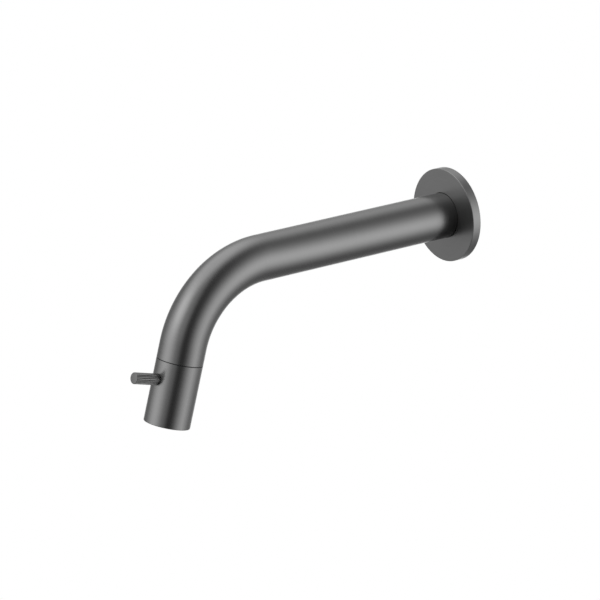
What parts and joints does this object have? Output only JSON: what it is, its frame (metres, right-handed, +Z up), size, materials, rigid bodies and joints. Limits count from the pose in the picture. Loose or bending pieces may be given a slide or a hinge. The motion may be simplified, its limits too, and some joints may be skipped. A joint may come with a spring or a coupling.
{
  "type": "wall-mounted tap",
  "caption": "Wall-mounted cold water tap: straight round arm bent down to a turning outlet sleeve with a fluted pin lever, round wall rosette and a threaded inlet behind it.",
  "frame": {"origin": "centre of the rosette's wall face, on the arm's axis, in the plane of the finished wall", "axes": "+Z up, the wall is the plane Y = 0, the arm reaches out along -Y, +Y goes into the wall along the inlet thread, +X is to the right of someone who faces the tap"},
  "size_m": [0.0502, 0.2174, 0.1056],
  "materials": {
    "gunmetal_steel": "stainless steel, brushed along the tube and coated dark gunmetal grey, satin",
    "brass": "machined brass, low lead",
    "bare_steel": "plain stainless steel",
    "black_rubber": "moulded rubber, matt",
    "alumina_ceramic": "lapped ceramic",
    "black_acetal": "moulded plastic, matt black"
  },
  "bodies": {
    "spout": {"spout_arm": "gunmetal_steel", "inlet_nipple": "brass", "nipple_oring_rear": "black_rubber", "nipple_oring_front": "black_rubber", "inlet_strainer": "bare_steel", "arm_grub_screw": "bare_steel", "inlet_socket": "brass", "outlet_bush": "brass", "cartridge_housing": "brass", "housing_oring": "black_rubber", "disc_retaining_ring": "black_acetal", "disc_seal": "black_rubber", "fixed_ceramic_disc": "alumina_ceramic", "rotor_thrust_washer": "black_acetal", "seam_glide_ring": "black_acetal"},
    "rosette": {"wall_rosette": "gunmetal_steel", "rosette_grip_ring": "black_rubber", "wall_gasket": "black_rubber"},
    "handle": {"handle_sleeve": "gunmetal_steel", "lever_pin": "gunmetal_steel", "stop_pin": "bare_steel", "rotor": "brass", "rotor_oring_upper": "black_rubber", "rotor_oring_lower": "black_rubber", "hub_oring": "black_rubber", "rotor_circlip": "bare_steel", "moving_ceramic_disc": "alumina_ceramic", "aerator_washer": "black_rubber", "aerator_housing": "gunmetal_steel", "aerator_core": "black_acetal", "aerator_screen": "bare_steel", "aerator_outlet_grid": "black_acetal"}
  },
  "joints": [
    {"name": "handle_turn", "type": "hinge", "parent": "spout", "child": "handle", "pos_m": [0, -0.1781, -0.04527], "axis": [0, -0.2588, -0.9659], "range_deg": [0, 90]},
    {"name": "rosette_slide", "type": "slide", "parent": "spout", "child": "rosette", "axis": [0, -1, 0], "range_m": [0, 0.12]}
  ]
}
